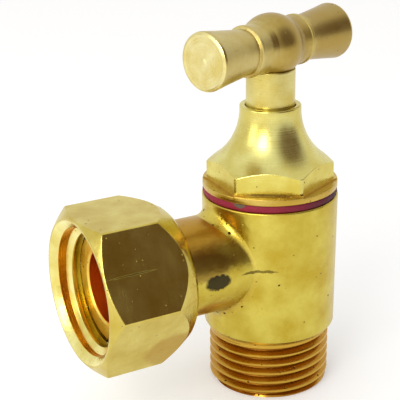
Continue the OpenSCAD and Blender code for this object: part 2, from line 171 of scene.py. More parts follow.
def mill_flats(bm, across, first):
    """Mills six flats round the Z axis and closes the cut faces."""
    for k in range(6):
        turn = first + k * math.tau / 6
        outward = Vector((math.cos(turn), math.sin(turn), 0))
        cut = bmesh.ops.bisect_plane(bm, geom=bm.verts[:] + bm.edges[:] + bm.faces[:], dist=1e-8,
                                     plane_co=outward * across / 2 * MM, plane_no=outward, clear_outer=True)
        rim = [e for e in cut["geom_cut"] if isinstance(e, bmesh.types.BMEdge)]
        bmesh.ops.edgenet_fill(bm, edges=rim)
    bmesh.ops.remove_doubles(bm, verts=bm.verts, dist=SLIVER * MM)
    bmesh.ops.dissolve_degenerate(bm, edges=bm.edges, dist=MERGE * MM)
    bmesh.ops.recalc_face_normals(bm, faces=bm.faces)


def soften(bm, width, chosen, segments=2):
    """Breaks the sharp edges that `chosen` picks, as a file or a tumbling drum would."""
    sharp = [e for e in bm.edges if e.is_manifold and e.calc_face_angle() > SHARP and chosen(e)]
    bmesh.ops.bevel(bm, geom=sharp, offset=width * MM, segments=segments, profile=0.5,
                    affect="EDGES", clamp_overlap=False, material=-1)
    bmesh.ops.remove_doubles(bm, verts=bm.verts, dist=MERGE * MM)
    bmesh.ops.recalc_face_normals(bm, faces=bm.faces)


def middle(edge):
    """Middle of an edge, in millimetres."""
    return (edge.verts[0].co + edge.verts[1].co) / 2 / MM


def rise(edge):
    """Length of an edge along the axis, in millimetres."""
    return abs(edge.verts[0].co.z - edge.verts[1].co.z) / MM


ALONG_BRANCH = Matrix.Translation((0, 0, OUTLET_Z * MM)) @ Matrix.Rotation(-math.pi / 2, 4, "Y")
ALONG_HANDLE = (Matrix.Translation((0, 0, HANDLE_Z * MM)) @ Matrix.Rotation(HANDLE_TURN, 4, "Z")
                @ Matrix.Rotation(math.pi / 2, 4, "Y"))


def placed(bm, place):
    """Puts a turned piece where it belongs."""
    bmesh.ops.transform(bm, matrix=place, verts=bm.verts)
    return bm


def blank(bm):
    """A bare object from a bmesh, for cutting or for finishing."""
    mesh = bpy.data.meshes.new("blank")
    bm.to_mesh(mesh)
    bm.free()
    thing = bpy.data.objects.new("blank", mesh)
    bpy.context.scene.collection.objects.link(thing)
    return thing


def weld(mesh):
    """Closes the hairline seams that a cut leaves."""
    bm = bmesh.new()
    bm.from_mesh(mesh)
    bmesh.ops.remove_doubles(bm, verts=bm.verts, dist=WELD * MM)
    bmesh.ops.dissolve_degenerate(bm, edges=bm.edges, dist=WELD * MM)
    bmesh.ops.recalc_face_normals(bm, faces=bm.faces)
    bm.to_mesh(mesh)
    bm.free()


def carve(thing, tool, operation):
    """Joins the tool to a blank or cuts it away, and keeps the result as the blank's mesh."""
    change = thing.modifiers.new("carve", "BOOLEAN")
    change.object = tool
    change.operation = operation
    change.solver = "EXACT"
    bpy.context.view_layer.update()
    evaluated = thing.evaluated_get(bpy.context.evaluated_depsgraph_get())
    result = bpy.data.meshes.new_from_object(evaluated)
    weld(result)
    thing.modifiers.clear()
    thing.data = result
    bpy.data.objects.remove(tool)


def finish_piece(thing, name, body, node, coats, coat_at=None):
    """Names a piece, dresses it and ties it to the frame."""
    thing.name = name
    mesh = thing.data
    mesh.name = name
    mesh.materials.clear()
    for coat in coats:
        mesh.materials.append(coat)
    for face in mesh.polygons:
        face.use_smooth = True
        face.material_index = coat_at(face.center / MM) if coat_at else 0
    mesh.set_sharp_from_angle(angle=SHARP)
    weighted = thing.modifiers.new("even_shading", "WEIGHTED_NORMAL")
    weighted.keep_sharp = True
    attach(thing, body)
    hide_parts(node)
    return thing


# Materials

def put(tree, kind, inputs=None, **settings):
    """Adds a node, sets it up and links or fills its inputs."""
    made = tree.nodes.new(kind)
    for key, value in settings.items():
        setattr(made, key, value)
    for key, value in (inputs or {}).items():
        socket = made.inputs[key]
        if isinstance(value, bpy.types.NodeSocket):
            tree.links.new(value, socket)
        else:
            socket.default_value = value
    return made


def calc(tree, operation, *values, clamp=False):
    """One step of arithmetic."""
    step = put(tree, "ShaderNodeMath", dict(enumerate(values)), operation=operation, use_clamp=clamp)
    return step.outputs[0]


def blend_tone(tree, share, low, high):
    """Mixes two tones by a share from 0 to 1."""
    mixed = put(tree, "ShaderNodeMix", data_type="RGBA")
    for index, value in ((0, share), (6, low), (7, high)):
        socket = mixed.inputs[index]
        if isinstance(value, bpy.types.NodeSocket):
            tree.links.new(value, socket)
        else:
            socket.default_value = (*value, 1) if index else value
    return mixed.outputs[2]


def stretch(tree, value, low, high, to_low=0.0, to_high=1.0):
    """Spreads the stretch low..high of a value over to_low..to_high and stops at both ends."""
    return put(tree, "ShaderNodeMapRange", {0: value, 1: low, 2: high, 3: to_low, 4: to_high}).outputs[0]


def surface_place(tree, place=None):
    """Object coordinates in millimetres, in the frame of the piece's own axis."""
    where = put(tree, "ShaderNodeTexCoord").outputs["Object"]
    inverse = (place or Matrix()).inverted()
    turn = inverse.to_euler()
    shifted = put(tree, "ShaderNodeMapping", {"Vector": where, "Rotation": turn,
                                              "Location": inverse.translation}).outputs[0]
    return put(tree, "ShaderNodeVectorMath", {0: shifted, "Scale": 1 / MM}, operation="SCALE").outputs[0]


def cloud(tree, spot, scale, detail=3.0, rough=0.5):
    """Soft random clouds, from 0 to 1."""
    return put(tree, "ShaderNodeTexNoise", {"Vector": spot, "Scale": scale, "Detail": detail,
                                            "Roughness": rough}).outputs[0]


def radius_of(tree, spot):
    """Distance from the Z axis of the piece."""
    parts = put(tree, "ShaderNodeSeparateXYZ", {0: spot}).outputs
    across = put(tree, "ShaderNodeCombineXYZ", {0: parts[0], 1: parts[1]}).outputs[0]
    return put(tree, "ShaderNodeVectorMath", {0: across}, operation="LENGTH").outputs["Value"]


def drawn_lines(tree, spot, stretches):
    """Fine lines that a file or a milling cutter leaves, long where the stretch is small."""
    pulled = put(tree, "ShaderNodeVectorMath", {0: spot, 1: stretches}, operation="MULTIPLY").outputs[0]
    return cloud(tree, pulled, 1.0, 4.0, 0.6)


def lathe_marks(tree, spot, scale, detail=3.0):
    """Fine rings that a lathe leaves round the Z axis of the piece, on walls and on end faces."""
    height = put(tree, "ShaderNodeSeparateXYZ", {0: spot}).outputs[2]
    along = calc(tree, "MULTIPLY_ADD", radius_of(tree, spot), 0.83, height)
    return put(tree, "ShaderNodeTexNoise", {"W": along, "Scale": scale, "Detail": detail},
               noise_dimensions="1D").outputs[0]


def pits(tree, spot, scale, share, largest):
    """Small round pits strewn at random: only some cells hold one, and each has its own size."""
    jitter = put(tree, "ShaderNodeTexNoise", {"Vector": spot, "Scale": scale * 2.4, "Detail": 2.0}).outputs[1]
    shaken = put(tree, "ShaderNodeVectorMath", {0: jitter, 1: (0.22 / scale,) * 3, 2: spot},
                 operation="MULTIPLY_ADD").outputs[0]
    cells = put(tree, "ShaderNodeTexVoronoi", {"Vector": shaken, "Scale": scale})
    luck = put(tree, "ShaderNodeSeparateColor", {0: cells.outputs["Color"]}).outputs[0]
    size = stretch(tree, luck, 1 - share, 1.0, 0.0, largest)
    depth = calc(tree, "SUBTRACT", size, cells.outputs["Distance"])
    return stretch(tree, depth, 0.0, 0.10)


def stain(tree, spot, centre, reach, ragged, fine=1.6):
    """One ragged patch round a centre, from 0 outside to 1 inside."""
    shake = put(tree, "ShaderNodeTexNoise", {"Vector": spot, "Scale": fine, "Detail": 4.0}).outputs[1]
    moved = put(tree, "ShaderNodeVectorMath", {0: shake, 1: (ragged,) * 3, 2: spot},
                operation="MULTIPLY_ADD").outputs[0]
    offset = put(tree, "ShaderNodeVectorMath", {0: moved, 1: tuple(c + ragged / 2 for c in centre)},
                 operation="SUBTRACT").outputs[0]
    scaled = put(tree, "ShaderNodeVectorMath", {0: offset, 1: tuple(1 / r for r in reach)},
                 operation="MULTIPLY").outputs[0]
    far = put(tree, "ShaderNodeVectorMath", {0: scaled}, operation="LENGTH").outputs["Value"]
    return stretch(tree, far, 1.0, 0.75)


def new_coat(name):
    """An empty material with its node tree and its shader."""
    coat = bpy.data.materials.new(name)
    coat.use_nodes = True
    return coat, coat.node_tree, coat.node_tree.nodes["Principled BSDF"]


def add_relief(tree, shader, height, depth):
    """Turns a height from 0 to 1 into fine relief of the given depth in millimetres."""
    relief = put(tree, "ShaderNodeBump", {"Height": height, "Distance": depth * MM, "Strength": 1.0})
    tree.links.new(relief.outputs[0], shader.inputs["Normal"])


DIRT = (0.055, 0.026, 0.010)
CHIP = (0.92, 0.86, 0.55)


def brass(name, tone, rough, place=None, wave=0.0, marks=0.0, mark_scale=7.0, grain=0.0, lines=None,
          pit_share=0.0, pit_scale=1.2, pit_size=0.3, specks=0.0, dull=0.10, root=None, patches=()):
    """Brass with clouded colour, lathe marks, drawn lines, grain, pits, pale specks and ragged patches; some patches
    are painted shade and painted reflection, and `root` paints shade into thread roots and a highlight on crests.
    """
    coat, tree, shader = new_coat(name)
    spot = surface_place(tree, place)
    broad = cloud(tree, spot, 0.28)
    fine = cloud(tree, spot, 2.6, 5.0, 0.6)
    deep = tuple(t * f for t, f in zip(tone, (0.84, 0.76, 0.55)))
    bright = tuple(min(1.0, t * f) for t, f in zip(tone, (1.06, 1.10, 1.35)))
    colour = blend_tone(tree, stretch(tree, broad, 0.34, 0.66), deep, bright)
    colour = blend_tone(tree, stretch(tree, fine, 0.48, 0.78, 0.0, dull * 3), colour, deep)
    gloss = stretch(tree, broad, 0.3, 0.7, rough * 0.85, rough * 1.15)
    height = calc(tree, "MULTIPLY", broad, wave)
    # painted shade and painted highlight: thread roots darker and crests paler, as light falls into the grooves
    if root:
        wall = radius_of(tree, spot)
        low, high, root_painted_shade, crest_painted_highlight = root
        colour = blend_tone(tree, stretch(tree, wall, low, (low + high) / 2, 0.75, 0.0), colour, root_painted_shade)
        colour = blend_tone(tree, stretch(tree, wall, high - 0.12, high - 0.02, 0.0, 0.7), colour, crest_painted_highlight)
    if marks:
        rings = lathe_marks(tree, spot, mark_scale)
        height = calc(tree, "MULTIPLY_ADD", rings, marks, height)
        gloss = calc(tree, "MULTIPLY_ADD", rings, 0.12, calc(tree, "SUBTRACT", gloss, 0.06))
        colour = blend_tone(tree, stretch(tree, rings, 0.35, 0.65, 0.30, 0.0), colour, deep)
    if lines:
        drawn = drawn_lines(tree, spot, lines)
        height = calc(tree, "MULTIPLY_ADD", drawn, 0.006, height)
        gloss = calc(tree, "MULTIPLY_ADD", drawn, 0.16, calc(tree, "SUBTRACT", gloss, 0.08))
        colour = blend_tone(tree, stretch(tree, drawn, 0.3, 0.7, 0.35, 0.0), colour, deep)
    if grain:
        height = calc(tree, "MULTIPLY_ADD", fine, grain, height)
    if specks:
        chips = pits(tree, spot, 1.9, specks, 0.13)
        colour = blend_tone(tree, calc(tree, "MULTIPLY", chips, 0.8), colour, CHIP)
        gloss = calc(tree, "MULTIPLY_ADD", chips, 0.5, gloss)
    if pit_share:
        holes = pits(tree, spot, pit_scale, pit_share, pit_size)
        colour = blend_tone(tree, holes, colour, DIRT)
        gloss = calc(tree, "MULTIPLY_ADD", holes, 0.35, gloss)
        height = calc(tree, "MULTIPLY_ADD", holes, -0.05, height)
    for centre, reach, ragged, patch_tone, patch_share, sunk in patches:
        area = calc(tree, "MULTIPLY", stain(tree, spot, centre, reach, ragged), patch_share)
        colour = blend_tone(tree, area, colour, patch_tone)
        if sunk:
            height = calc(tree, "MULTIPLY_ADD", area, sunk, height)
            gloss = calc(tree, "MULTIPLY_ADD", area, 0.3, gloss)
    tree.links.new(colour, shader.inputs["Base Color"])
    tree.links.new(gloss, shader.inputs["Roughness"])
    add_relief(tree, shader, height, 1.0)
    shader.inputs["Metallic"].default_value = 1.0
    return coat


def fibre(name, bright, dark):
    """Pressed red fibre: matt, fuzzy, with dirt worked into it, and painted light that makes it brighter on its left.
    """
    coat, tree, shader = new_coat(name)
    spot = surface_place(tree)
    side = put(tree, "ShaderNodeSeparateXYZ", {0: spot}).outputs[0]
    fuzz = cloud(tree, spot, 5.0, 6.0, 0.7)
    # painted light: the fibre shifts towards the bright tone on its left, the side the softboxes light
    share = calc(tree, "MULTIPLY_ADD", fuzz, 0.6, stretch(tree, side, -5.0, 6.0, -0.3, 0.7), clamp=True)
    colour = blend_tone(tree, share, bright, dark)
    torn = stain(tree, spot, (-7.75, -4.75, 28.4), (1.0, 1.0, 0.55), 0.5, 3.0)
    colour = blend_tone(tree, torn, colour, (0.11, 0.09, 0.05))
    tree.links.new(colour, shader.inputs["Base Color"])
    shader.inputs["Roughness"].default_value = 0.62
    shader.inputs["Specular IOR Level"].default_value = 0.35
    add_relief(tree, shader, fuzz, 0.08)
    return coat


def rubber(name):
    """Black rubber with a faint bloom."""
    coat, tree, shader = new_coat(name)
    spot = surface_place(tree)
    bloom = cloud(tree, spot, 1.8, 5.0, 0.65)
    colour = blend_tone(tree, stretch(tree, bloom, 0.35, 0.75), (0.010, 0.010, 0.011), (0.045, 0.044, 0.042))
    tree.links.new(colour, shader.inputs["Base Color"])
    tree.links.new(stretch(tree, bloom, 0.3, 0.7, 0.45, 0.7), shader.inputs["Roughness"])
    add_relief(tree, shader, bloom, 0.03)
    return coat


def steel(name):
    """Plain bright steel with fine grinding marks."""
    coat, tree, shader = new_coat(name)
    spot = surface_place(tree)
    ground = lathe_marks(tree, spot, 9.0)
    colour = blend_tone(tree, ground, (0.46, 0.45, 0.44), (0.66, 0.66, 0.65))
    tree.links.new(colour, shader.inputs["Base Color"])
    tree.links.new(stretch(tree, ground, 0.3, 0.7, 0.25, 0.45), shader.inputs["Roughness"])
    add_relief(tree, shader, ground, 0.01)
    shader.inputs["Metallic"].default_value = 1.0
    return coat


# Tones of the brass, as it looks under plain white light; the bore tone is redder and brighter than the brass, a
# painted reflection of light bouncing between the walls of the bores
FORGED = (0.60, 0.48, 0.070)
MILLED = (0.66, 0.54, 0.120)
TURNED = (0.72, 0.65, 0.200)
PALE = (0.77, 0.69, 0.310)
BORED = (0.80, 0.26, 0.020)

# Patches: centre, reach, raggedness, tone, share, depth. The pits, the parting line, the scratch and the witness line
# are marks that the casting and its use have left; the branch, barrel, nut and far cone patches are painted reflection
# and painted shade; the ball patch makes the ball browner.
PIT_PATCH = ((-11.9, -6.6, 19.1), (2.1, 1.5, 1.15), 1.2, (0.030, 0.024, 0.018), 0.92, -0.12)
PARTING = ((-5.9, -7.0, 19.4), (2.6, 2.6, 0.22), 0.5, DIRT, 0.65, -0.05)
# painted reflection of a dark surrounding on the top and middle of the branch, painted shade on its underside and on
# the barrel beside it
BRANCH_TOP_PAINTED_REFLECTION = ((-14.0, -2.0, 25.0), (6.5, 5.0, 4.6), 1.5, (0.44, 0.20, 0.020), 0.75, 0.0)
BRANCH_MIDDLE_PAINTED_REFLECTION = ((-14.0, -6.5, 21.6), (5.5, 2.0, 2.3), 1.4, (0.26, 0.13, 0.025), 0.65, 0.0)
BRANCH_FOOT_PAINTED_SHADE = ((-12.0, -4.5, 14.5), (4.5, 3.5, 2.0), 1.4, (0.50, 0.28, 0.030), 0.6, 0.0)
BARREL_SHADE = ((-8.4, -3.6, 24.5), (2.0, 2.0, 4.0), 1.2, (0.50, 0.30, 0.035), 0.55, 0.0)
NUT_SCRATCH = ((-24.9, -8.45, 24.0), (3.6, 0.7, 0.09), 0.16, (0.03, 0.02, 0.01), 0.8, -0.02)
# painted shade on the lower part of the nut
NUT_SHADE = ((-19.5, -7.0, 12.0), (4.0, 4.0, 3.5), 1.6, (0.46, 0.27, 0.035), 0.6, 0.0)
BALL_TONE = ((0.0, 0.0, 0.9), (6.0, 6.0, 5.2), 1.0, (0.40, 0.27, 0.060), 0.85, 0.0)
# painted shade on the far half of the handle
FAR_CONE_PAINTED_SHADE = ((0.0, 0.0, 9.5), (6.0, 6.0, 5.5), 1.2, (0.37, 0.24, 0.055), 0.75, 0.0)
WITNESS_LINE = ((-4.2, -6.9, 29.5), (4.4, 3.4, 0.10), 0.12, DIRT, 0.7, -0.03)

body_coat = brass("body_brass", FORGED, 0.30, wave=0.16, grain=0.012, pit_share=0.30, pit_scale=1.1,
                  pit_size=0.20, specks=0.10,
                  patches=(BRANCH_TOP_PAINTED_REFLECTION, BRANCH_MIDDLE_PAINTED_REFLECTION, BRANCH_FOOT_PAINTED_SHADE, BARREL_SHADE, PARTING, PIT_PATCH))
joint_coat = brass("junction_brass", (0.64, 0.50, 0.08), 0.28, wave=0.12, grain=0.03, pit_share=0.75,
                   pit_scale=1.5, pit_size=0.38, dull=0.2, patches=(PARTING, PIT_PATCH))
# painted reflection and painted shade: the thread is redder and darker than the body's brass, as light bouncing in the
# grooves makes it look
thread_painted_shade_coat = brass("thread_painted_shade_brass", (0.50, 0.26, 0.030), 0.26, marks=0.014, mark_scale=9.0, pit_share=0.40,
                    pit_scale=1.4, pit_size=0.28, dull=0.25,
                    root=(7.475, THREAD_R, (0.24, 0.09, 0.010), (0.62, 0.40, 0.060)))
# painted reflection: the bores are redder and brighter than the body's brass, standing in for light bouncing between
# their walls
bore_painted_reflection_coat = brass("bore_painted_reflection_brass", BORED, 0.34, marks=0.012, mark_scale=6.0, dull=0.2)
outlet_bore_painted_reflection_coat = brass("outlet_bore_painted_reflection_brass", (0.95, 0.30, 0.020), 0.36, place=ALONG_BRANCH, marks=0.03,
                         mark_scale=4.0)
flange_coat = brass("flange_brass", (0.80, 0.60, 0.110), 0.30, place=ALONG_BRANCH, marks=0.014,
                    pit_share=0.3, pit_scale=1.6)
nut_coat = brass("nut_brass", MILLED, 0.22, wave=0.05, grain=0.008, lines=(7.0, 0.5, 0.5), pit_share=0.28,
                 pit_scale=1.3, pit_size=0.17, specks=0.22, patches=(NUT_SCRATCH, NUT_SHADE))
# painted highlight: the turned ends, mouth and inner thread ridge of the nut are pale, standing in for the softbox's
# glint on the countersink
nut_turned_painted_highlight_coat = brass("nut_turned_painted_highlight_brass", (0.86, 0.78, 0.27), 0.20, place=ALONG_BRANCH, marks=0.012,
                        mark_scale=8.0, pit_share=0.30, pit_scale=1.4, pit_size=0.20)
# painted reflection: the inside of the nut is orange, standing in for light bouncing between its brass walls
nut_inside_painted_reflection_coat = brass("nut_inside_painted_reflection_brass", (0.86, 0.46, 0.045), 0.26, place=ALONG_BRANCH, marks=0.018,
                        mark_scale=6.0, pit_share=0.25, pit_scale=1.3, pit_size=0.24)
bonnet_coat = brass("bonnet_brass", TURNED, 0.27, marks=0.007, mark_scale=8.0, pit_share=0.16,
                    pit_scale=1.1, pit_size=0.17)
flats_coat = brass("bonnet_flats_brass", (0.70, 0.60, 0.125), 0.24, wave=0.05, grain=0.010,
                   lines=(0.6, 0.6, 6.0), pit_share=0.30, pit_scale=1.5, pit_size=0.18)
collar_coat = brass("collar_brass", (0.60, 0.42, 0.085), 0.28, marks=0.006, pit_share=0.6, pit_scale=1.7,
                    pit_size=0.26, dull=0.25, patches=(WITNESS_LINE,))
spindle_coat = brass("spindle_brass", (0.68, 0.59, 0.195), 0.30, marks=0.012, mark_scale=8.0, pit_share=0.35,
                     pit_scale=1.6, pit_size=0.18, dull=0.15)
handle_coat = brass("handle_brass", (0.60, 0.49, 0.175), 0.34, place=ALONG_HANDLE, marks=0.012,
                    mark_scale=6.0, pit_share=0.35, pit_scale=1.4, pit_size=0.2, dull=0.2,
                    patches=(BALL_TONE, FAR_CONE_PAINTED_SHADE))
handle_end_coat = brass("handle_end_brass", PALE, 0.30, place=ALONG_HANDLE, marks=0.03, mark_scale=3.5,
                        pit_share=0.3, pit_scale=1.7, pit_size=0.16)
jumper_coat = brass("jumper_brass", (0.66, 0.52, 0.13), 0.34, marks=0.012)
gasket_coat = fibre("gasket_fibre", (0.26, 0.010, 0.030), (0.050, 0.010, 0.022))
rubber_coat = rubber("black_rubber")
steel_coat = steel("clamp_steel")


# Pieces of the body

def barrel_r(up):
    """Outer radius of the slightly tapered barrel."""
    share = (up - SHOULDER_Z) / (BODY_TOP_Z - SHOULDER_Z)
    return BARREL_FOOT_R + (BARREL_TOP_R - BARREL_FOOT_R) * share


def barrel_blank():
    """Solid barrel above the inlet thread, with rows close enough for clean cuts."""
    rows = [SHOULDER_Z + 0.9 + k * 0.6 for k in range(29)]
    return turned([(0, THREAD_END_Z, 0), (THREAD_R, THREAD_END_Z, 0), (BARREL_FOOT_R, SHOULDER_Z, 0.25)]
                  + [(barrel_r(up), up, 0) for up in rows]
                  + [(BARREL_TOP_R, BODY_TOP_Z, 0.2), (0, BODY_TOP_Z, 0)], closed=False)


def branch_blank():
    """Solid branch with the flange that holds the nut."""
    rows = [2.0 + k * 0.6 for k in range(35)]
    flange_s = BRANCH_LEN - FLANGE_T
    return placed(turned([(0, 1, 0), (BRANCH_R, 1, 0)] + [(BRANCH_R, along, 0) for along in rows]
                         + [(BRANCH_R, flange_s, 0.12), (FLANGE_R, flange_s, 0.25),
                            (FLANGE_R, BRANCH_LEN, 0.25), (0, BRANCH_LEN, 0)], closed=False), ALONG_BRANCH)


def barrel_hollow():
    """Inlet bore, seat and chamber, as the solid that is cut away."""
    return turned([(0, THREAD_END_Z - 1, 0), (INLET_R, THREAD_END_Z - 1, 0), (INLET_R, SEAT_Z - 3.5, 0.1),
                   (SEAT_R, SEAT_Z - 2.8, 0.1), (SEAT_R, SEAT_Z - 0.25, 0.05), (SEAT_R + 0.25, SEAT_Z, 0.08),
                   (SEAT_R + 0.75, SEAT_Z, 0.08), (5.1, SEAT_Z - 0.9, 0.1), (CHAMBER_R, SEAT_Z - 0.9, 0.3),
                   (CHAMBER_R, 22.4, 0.1), (RIM_BORE_R + 0.1, 23.0, 0), (RIM_BORE_R + 0.1, 23.5, 0),
                   (7.0, 24.0, 0), (7.0, 26.9, 0), (RIM_BORE_R, 27.3, 0),
                   (RIM_BORE_R, BODY_TOP_Z + 1, 0), (0, BODY_TOP_Z + 1, 0)], closed=False)


def branch_hollow():
    """Bore of the branch, stepped wider towards the outlet."""
    return placed(turned([(0, CHAMBER_R / 2, 0), (4.0, CHAMBER_R / 2, 0), (4.0, 12.5, 0.1),
                          (OUTLET_BORE_R, 13.2, 0.1), (OUTLET_BORE_R, BRANCH_LEN - 0.25, 0.1),
                          (OUTLET_BORE_R + 0.25, BRANCH_LEN, 0), (OUTLET_BORE_R + 0.25, BRANCH_LEN + 1, 0),
                          (0, BRANCH_LEN + 1, 0)], closed=False), ALONG_BRANCH)


def body_coat_at(spot):
    """Which coat a face of the body has: skin, bores, or the faces turned at the outlet."""
    from_axis = math.hypot(spot.x, spot.y)
    from_branch = math.hypot(spot.y, spot.z - OUTLET_Z)
    if -spot.x > BRANCH_LEN - FLANGE_T - 0.1:
        return 3 if from_branch > OUTLET_BORE_R + 0.05 else 2
    if spot.x < 0 and from_axis > CHAMBER_R + 0.7 and from_branch < OUTLET_BORE_R + 0.05:
        return 2
    if from_axis < RIM_BORE_R + 0.2 and spot.z < BODY_TOP_Z - 0.01:
        return 1
    return 0


def make_body():
    """Barrel and branch as one forging, bored through."""
    forging = blank(barrel_blank())
    carve(forging, blank(branch_blank()), "UNION")
    carve(forging, blank(barrel_hollow()), "DIFFERENCE")
    carve(forging, blank(branch_hollow()), "DIFFERENCE")
    finish_piece(forging, "body_forging", "valve_body", "body",
                 [body_coat, bore_painted_reflection_coat, outlet_bore_painted_reflection_coat, flange_coat], body_coat_at)


FILLET_STEPS = 144
FILLET_ROWS = 10
FILLET_SINK = 0.006
FILLET_ROOT = 0.3


def fillet_arc(turn):
    """Points of the rolling ball at one angle, from the branch to the barrel, then one inside."""
    ball = 1.3 - 0.3 * math.cos(2 * turn)
    near_z = OUTLET_Z + (BRANCH_R + ball) * math.sin(turn)
    wall = barrel_r(near_z)
    side = (BRANCH_R + ball) * math.cos(turn)
    centre = Vector((-math.sqrt((wall + ball) ** 2 - side ** 2), side, near_z))
    on_branch = Vector((centre.x, side * BRANCH_R / (BRANCH_R + ball),
                        OUTLET_Z + (near_z - OUTLET_Z) * BRANCH_R / (BRANCH_R + ball)))
    on_barrel = Vector((centre.x * wall / (wall + ball), centre.y * wall / (wall + ball), near_z))
    first = on_branch - centre
    last = on_barrel - centre
    reach = ball + FILLET_SINK
    points = [centre + first.slerp(last, k / FILLET_ROWS) * reach for k in range(FILLET_ROWS + 1)]
    corner = ball / math.cos(first.angle(last) / 2)
    inside = centre + (first + last).normalized() * (corner + FILLET_ROOT)
    return points + [inside]


def make_fillet():
    """The hollow where the branch grows out of the barrel, as a closed ring of rolling ball arcs."""
    bm = bmesh.new()
    rings = []
    for row in range(FILLET_ROWS + 2):
        ring = bmesh.ops.create_circle(bm, segments=FILLET_STEPS, radius=MM)["verts"]
        for k, dot in enumerate(ring):
            dot.co = fillet_arc(k * math.tau / FILLET_STEPS)[row] * MM
        rings.append([e for e in bm.edges if e.verts[0] in ring and e.verts[1] in ring])
    for here, there in zip(rings, rings[1:] + rings[:1]):
        bmesh.ops.bridge_loops(bm, edges=here + there)
    bmesh.ops.recalc_face_normals(bm, faces=bm.faces)
    finish_piece(blank(bm), "body_junction", "valve_body", "body", [joint_coat])


def groove(at):
    """One thread groove seen in section: flank, rounded root, flank."""
    root = THREAD_R - THREAD_DEPTH
    return [(THREAD_R, at - 0.545), (THREAD_R - 0.06, at - 0.50), (root + 0.06, at - 0.13), (root, at - 0.05),
            (root, at + 0.05), (root + 0.06, at + 0.13), (THREAD_R - 0.06, at + 0.50), (THREAD_R, at + 0.545)]


def make_thread():
    """The inlet thread as a true helix, chamfered at its start and running out below the shoulder."""
    bm = bmesh.new()
    outline = [p for k in range(-2, 8) for p in groove(THREAD_START_Z + k * PITCH)]
    dots = [bm.verts.new((out * MM, 0, up * MM)) for out, up in outline]
    for here, there in zip(dots, dots[1:]):
        bm.edges.new((here, there))
    bmesh.ops.spin(bm, geom=bm.verts[:] + bm.edges[:], cent=(0, 0, 0), axis=(0, 0, 1),
                   dvec=(0, 0, PITCH / STEPS * MM), angle=math.tau, steps=STEPS)
    bmesh.ops.remove_doubles(bm, verts=bm.verts, dist=0.002 * MM)
    for level, keep_above in ((0.0, True), (0.25, None), (0.5, None), (THREAD_END_Z, False)):
        bmesh.ops.bisect_plane(bm, geom=bm.verts[:] + bm.edges[:] + bm.faces[:], dist=1e-8,
                               plane_co=(0, 0, level * MM), plane_no=(0, 0, 1),
                               clear_inner=keep_above is True, clear_outer=keep_above is False)
    for dot in bm.verts:
        out = math.hypot(dot.co.x, dot.co.y) / MM
        up = dot.co.z / MM
        left = min(1.0, max(0.0, (THREAD_END_Z - up) / (THREAD_END_Z - FADE_FROM_Z)))
        wanted = THREAD_R - (THREAD_R - out) * left
        wanted = min(wanted, INLET_FACE_R + START_SLOPE * up)
        dot.co.x *= wanted / out
        dot.co.y *= wanted / out
    rims = [e for e in bm.edges if e.is_boundary]
    low = [e for e in rims if middle(e).z < 0.1]
    high = [e for e in rims if middle(e).z > THREAD_END_Z - 0.1]
    bore = []
    for level in (0.0, THREAD_END_Z):
        ring = bmesh.ops.create_circle(bm, segments=STEPS, radius=INLET_R * MM,
                                       matrix=Matrix.Translation((0, 0, level * MM)))["verts"]
        bore.append([e for e in bm.edges if e.verts[0] in ring and e.verts[1] in ring])
    bmesh.ops.bridge_loops(bm, edges=bore[0] + bore[1])
    bmesh.ops.bridge_loops(bm, edges=low + bore[0])
    bmesh.ops.bridge_loops(bm, edges=high + bore[1])
    bmesh.ops.recalc_face_normals(bm, faces=bm.faces)
    finish_piece(blank(bm), "inlet_thread", "valve_body", "body", [thread_painted_shade_coat, bore_painted_reflection_coat],
                 lambda spot: 1 if math.hypot(spot.x, spot.y) < INLET_R + 0.05 else 0)


# Union nut

def nut_coat_at(spot):
    """Which coat a face of the nut has: milled flats, turned ends with a painted highlight, or the inside with a
    painted reflection.
    """
    out = math.hypot(spot.y, spot.z - OUTLET_Z)
    along = -spot.x
    if out < NUT_ROOT_R + 0.15 and along < NUT_FRONT - 0.7 and along > NUT_BACK + 0.1:
        return 2
    if along > NUT_FRONT - 1.3 and out < NUT_MOUTH_R + 0.1:
        return 1
    return 0


def make_nut():
    """Hexagon nut: turned envelope with chamfered ends, milled flats, and a bored inside."""
    slope_end = NUT_BACK + NUT_REAR_STEP + (NUT_TURNED_R - NUT_REAR_R) / NUT_REAR_SLOPE
    bm = turned([(NUT_LIP_R, NUT_BACK, 0.2), (NUT_REAR_R - NUT_REAR_STEP, NUT_BACK, 0.1),
                 (NUT_REAR_R, NUT_BACK + NUT_REAR_STEP, 0.2), (NUT_TURNED_R, slope_end, 0),
                 (NUT_TURNED_R, NUT_FRONT - NUT_FRONT_CHAMFER, 0), (NUT_FACE_R, NUT_FRONT, 0.12),
                 (NUT_MOUTH_R, NUT_FRONT, 0.1), (NUT_ROOT_R, NUT_FRONT - NUT_COUNTERSINK, 0.1),
                 (NUT_ROOT_R, 22.0, 0), (NUT_POCKET_R, 21.2, 0),
                 (NUT_POCKET_R, NUT_BACK + NUT_LIP_T, 0.2), (NUT_LIP_R, NUT_BACK + NUT_LIP_T, 0.2)])
    mill_flats(bm, NUT_ACROSS, 0.0)
    soften(bm, 0.2, lambda e: math.hypot(*middle(e).xy) > 11.2 and rise(e) > 2)
    soften(bm, 0.07, lambda e: math.hypot(*middle(e).xy) > NUT_FACE_R + 0.1, 1)
    placed(bm, ALONG_BRANCH)
    finish_piece(blank(bm), "union_nut_hexagon", "captive_nut", "union_nut",
                 [nut_coat, nut_turned_painted_highlight_coat, nut_inside_painted_reflection_coat], nut_coat_at)


NUT_TURNS = 3.8
NUT_THREAD_START = 27.2
RIDGE_STEPS = 120


